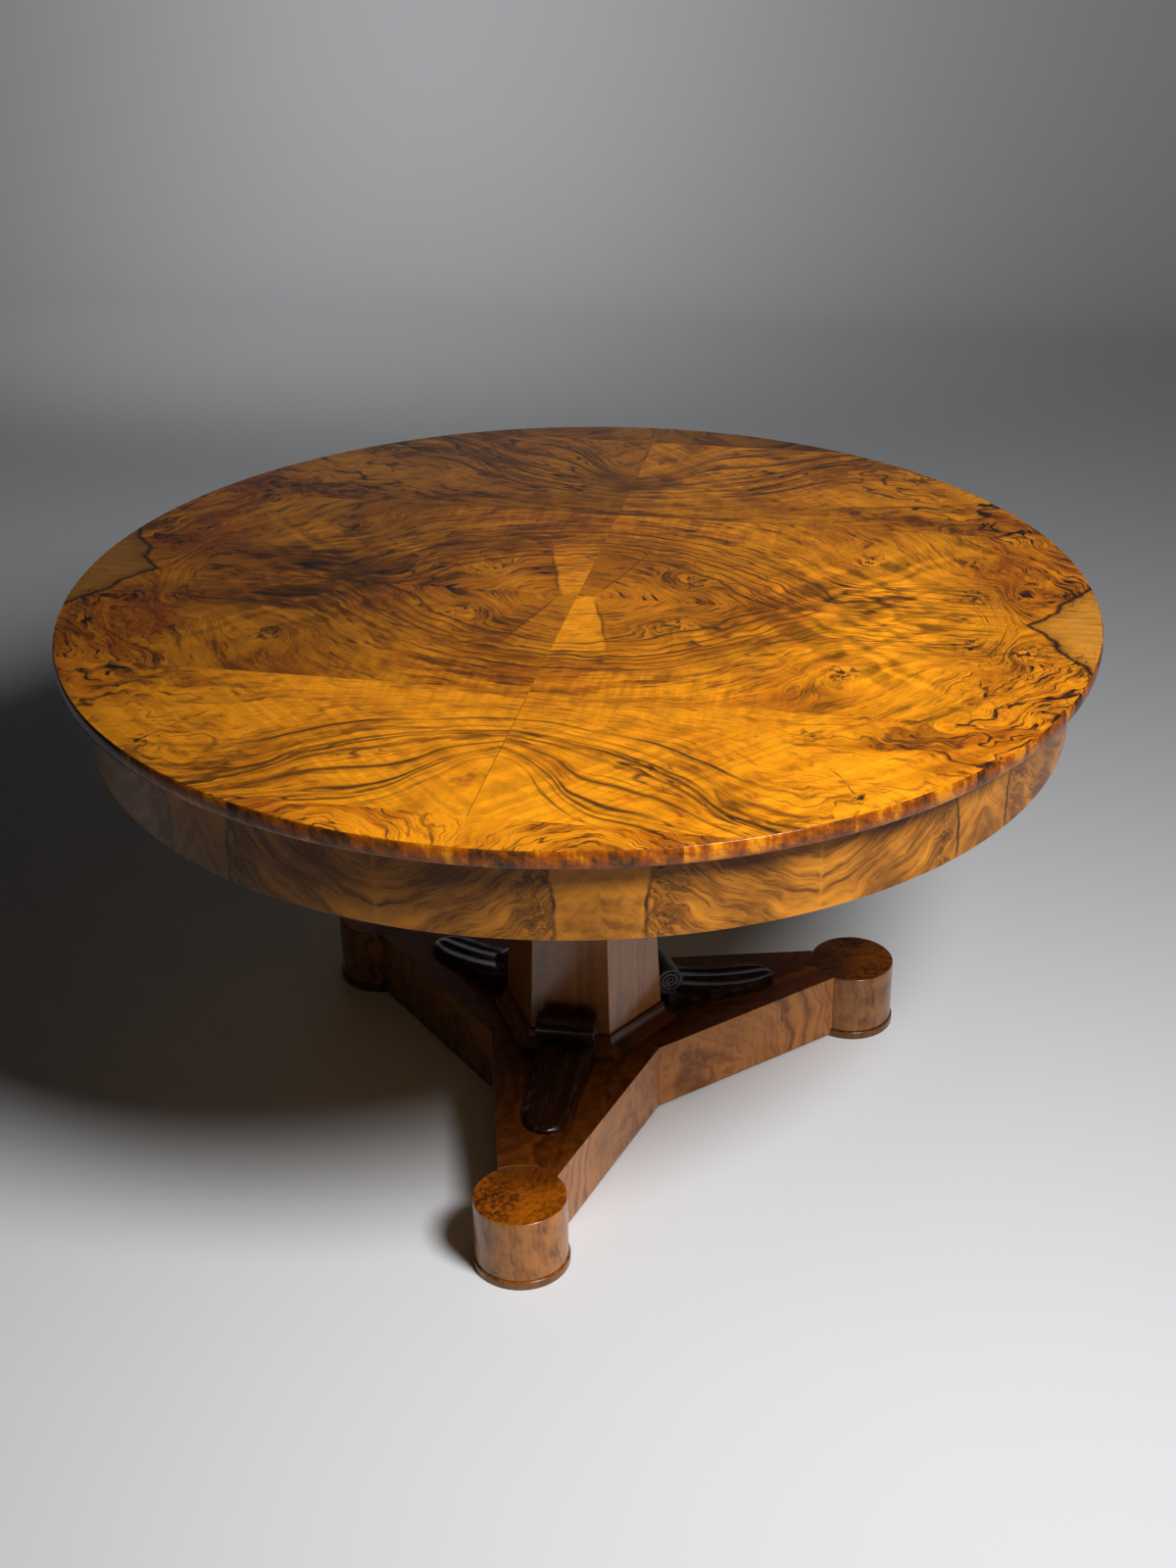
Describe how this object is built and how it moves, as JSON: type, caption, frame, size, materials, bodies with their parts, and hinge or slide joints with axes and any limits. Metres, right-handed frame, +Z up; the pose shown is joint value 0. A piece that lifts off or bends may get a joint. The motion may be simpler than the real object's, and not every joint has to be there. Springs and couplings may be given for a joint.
{
  "type": "centre table",
  "caption": "Round veneered walnut centre table: drum apron, tapered six-sided column with carved scroll brackets, and a notched platform on turned drum feet",
  "frame": {"origin": "on the floor under the centre of the round top, which is the axis of the column", "axes": "+Z up; the front foot points along -Y, so the front to back veneer seam lies along Y"},
  "size_m": [1.32, 1.32, 0.74],
  "materials": {
    "pine_core": "planed softwood, unfinished, aged",
    "walnut_top": "book-matched burr walnut veneer, french polished",
    "walnut_edge": "cross-grained walnut edge, french polished",
    "walnut_apron": "book-matched walnut veneer, french polished",
    "pine_frame": "sawn softwood, unfinished, aged",
    "walnut_column": "walnut veneer, french polished",
    "walnut_plinth": "walnut moulding, french polished",
    "dark_bracket": "carved wood, stained dark and polished",
    "walnut_platform": "walnut veneer, french polished",
    "walnut_feet": "turned and veneered walnut, french polished",
    "iron": "forged iron, dull"
  },
  "bodies": {
    "root": {"top_core_board_1": "pine_core", "top_core_board_2": "pine_core", "top_core_board_3": "pine_core", "top_veneer_inner_front_left": "walnut_top", "top_veneer_inner_front_right": "walnut_top", "top_veneer_inner_back_left": "walnut_top", "top_veneer_inner_back_right": "walnut_top", "top_veneer_outer_front_left": "walnut_top", "top_veneer_outer_front_right": "walnut_top", "top_veneer_outer_back_left": "walnut_top", "top_veneer_outer_back_right": "walnut_top", "top_veneer_rim_front_left": "walnut_top", "top_veneer_rim_front_right": "walnut_top", "top_veneer_rim_back_left": "walnut_top", "top_veneer_rim_back_right": "walnut_top", "edge_moulding_1": "walnut_edge", "apron_veneer_1": "walnut_apron", "edge_moulding_2": "walnut_edge", "apron_veneer_2": "walnut_apron", "edge_moulding_3": "walnut_edge", "apron_veneer_3": "walnut_apron", "edge_moulding_4": "walnut_edge", "apron_veneer_4": "walnut_apron", "apron_felloe_1": "pine_frame", "column_stave_1": "walnut_column", "plinth_moulding_1": "walnut_plinth", "apron_felloe_2": "pine_frame", "column_stave_2": "walnut_column", "plinth_moulding_2": "walnut_plinth", "apron_felloe_3": "pine_frame", "column_stave_3": "walnut_column", "plinth_moulding_3": "walnut_plinth", "apron_felloe_4": "pine_frame", "column_stave_4": "walnut_column", "plinth_moulding_4": "walnut_plinth", "apron_felloe_5": "pine_frame", "column_stave_5": "walnut_column", "plinth_moulding_5": "walnut_plinth", "apron_felloe_6": "pine_frame", "column_stave_6": "walnut_column", "plinth_moulding_6": "walnut_plinth", "bearer_lower": "pine_frame", "bearer_upper": "pine_frame", "column_head_block": "pine_frame", "column_foot_block": "pine_frame", "tie_rod": "iron", "tie_rod_washer": "iron", "tie_rod_nut": "iron", "scroll_bracket_front": "dark_bracket", "platform_arm_front": "walnut_platform", "foot_drum_front": "walnut_feet", "foot_base_front": "walnut_feet", "scroll_bracket_right": "dark_bracket", "platform_arm_right": "walnut_platform", "foot_drum_right": "walnut_feet", "foot_base_right": "walnut_feet", "scroll_bracket_left": "dark_bracket", "platform_arm_left": "walnut_platform", "foot_drum_left": "walnut_feet", "foot_base_left": "walnut_feet"}
  },
  "joints": []
}
